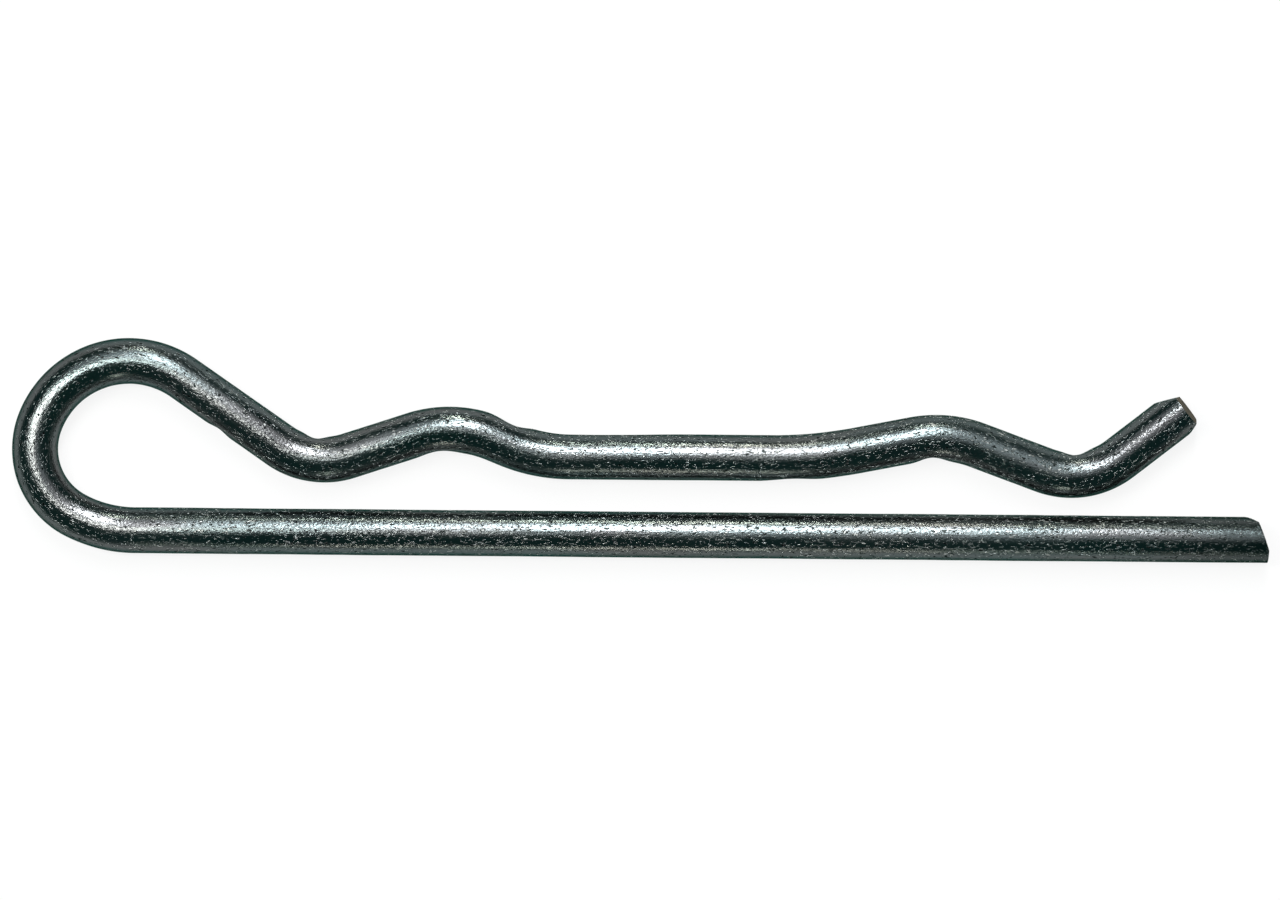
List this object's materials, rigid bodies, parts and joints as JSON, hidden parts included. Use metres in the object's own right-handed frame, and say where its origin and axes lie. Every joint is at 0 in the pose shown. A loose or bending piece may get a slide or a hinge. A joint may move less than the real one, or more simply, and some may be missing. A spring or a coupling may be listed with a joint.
{
  "type": "r-clip",
  "caption": "Spring cotter bent from round steel wire: a straight leg for a cross hole, an open eye, and a formed leg with humps that clip over the shaft and a turned-up lead-in.",
  "frame": {"origin": "on the straight leg's axis at its root, where the straight meets the eye", "axes": "+X along the straight leg towards its tip, +Y from the straight leg to the formed leg, +Z square to the plane that the clip is bent in"},
  "size_m": [0.1093, 0.0187, 0.004],
  "materials": {
    "zinc_plated_steel": "zinc plated spring steel, semi-bright, with fine draw lines along the wire"
  },
  "bodies": {
    "root": {"r_clip": "zinc_plated_steel"}
  },
  "joints": []
}
